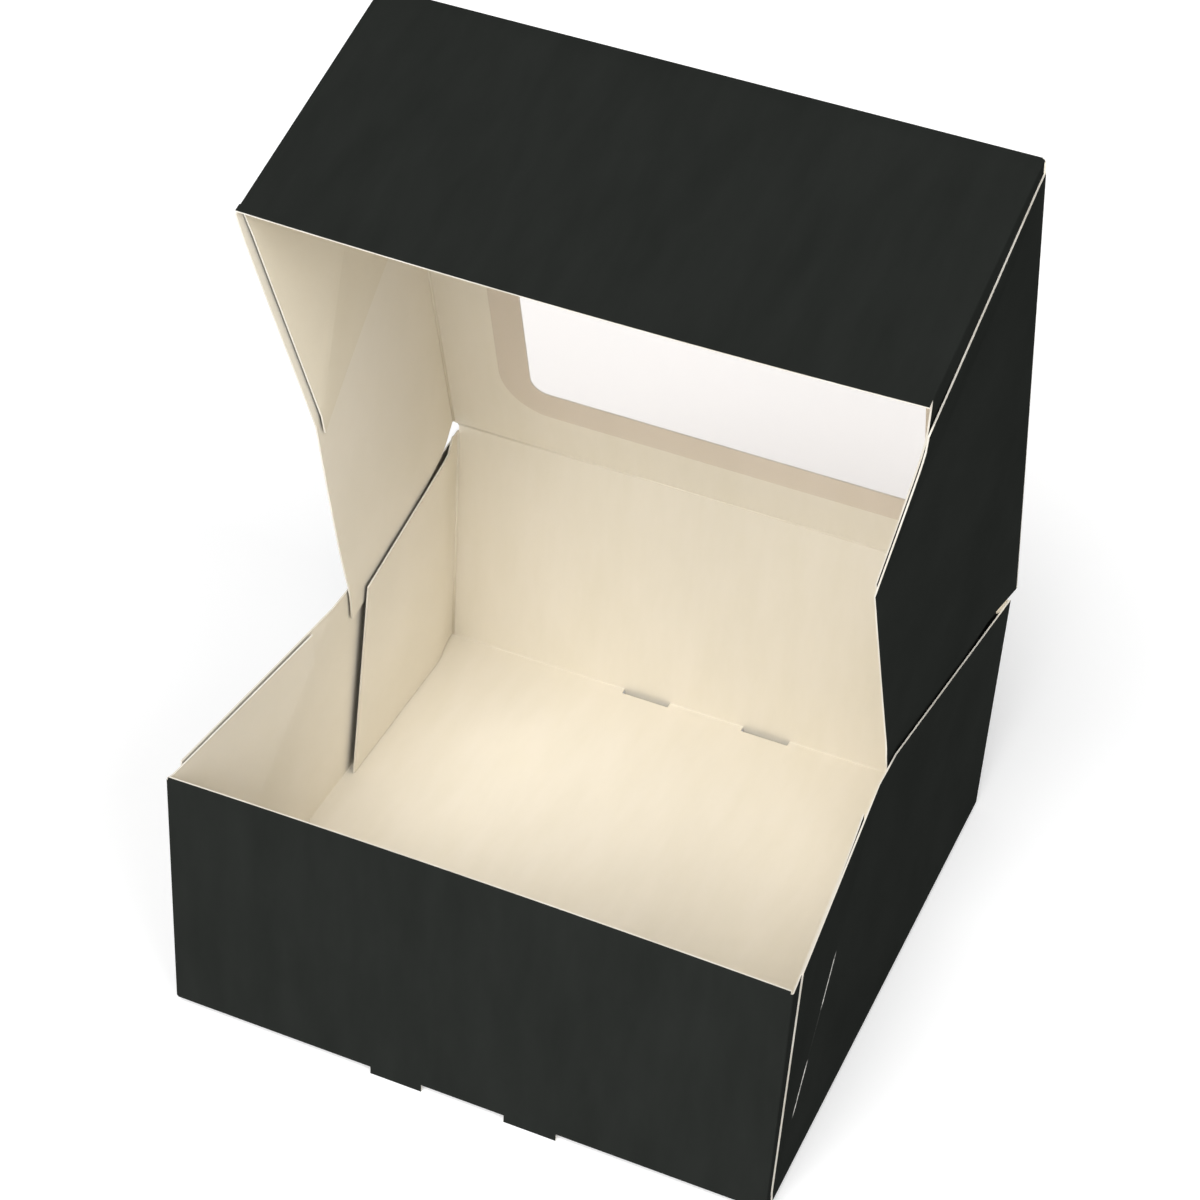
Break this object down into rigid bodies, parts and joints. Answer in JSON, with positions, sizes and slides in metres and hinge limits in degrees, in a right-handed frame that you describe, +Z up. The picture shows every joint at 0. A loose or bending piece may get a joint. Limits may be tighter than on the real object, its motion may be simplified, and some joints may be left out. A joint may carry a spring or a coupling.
{
  "type": "windowed cake box",
  "caption": "Folding card cake box on stacking tabs, with a full-depth lid hinged at the back and a film window in its top.",
  "frame": {"origin": "under the middle of the tray, on the surface that the stacking tabs stand on", "axes": "+X to the box's right as seen from its front, +Y towards the hinge at the back, +Z up"},
  "size_m": [0.2332, 0.231, 0.3325],
  "materials": {
    "card": "satin black outside, uncoated warm white inside and at the cut edges",
    "film": "clear gloss film"
  },
  "bodies": {
    "tray": {"tray": "card"},
    "lid": {"lid": "card", "window_film": "film"}
  },
  "joints": [
    {"name": "lid_hinge", "type": "hinge", "parent": "tray", "child": "lid", "pos_m": [0, 0.1152, 0.1108], "axis": [-1, 0, 0], "range_deg": [-73, 72]}
  ]
}
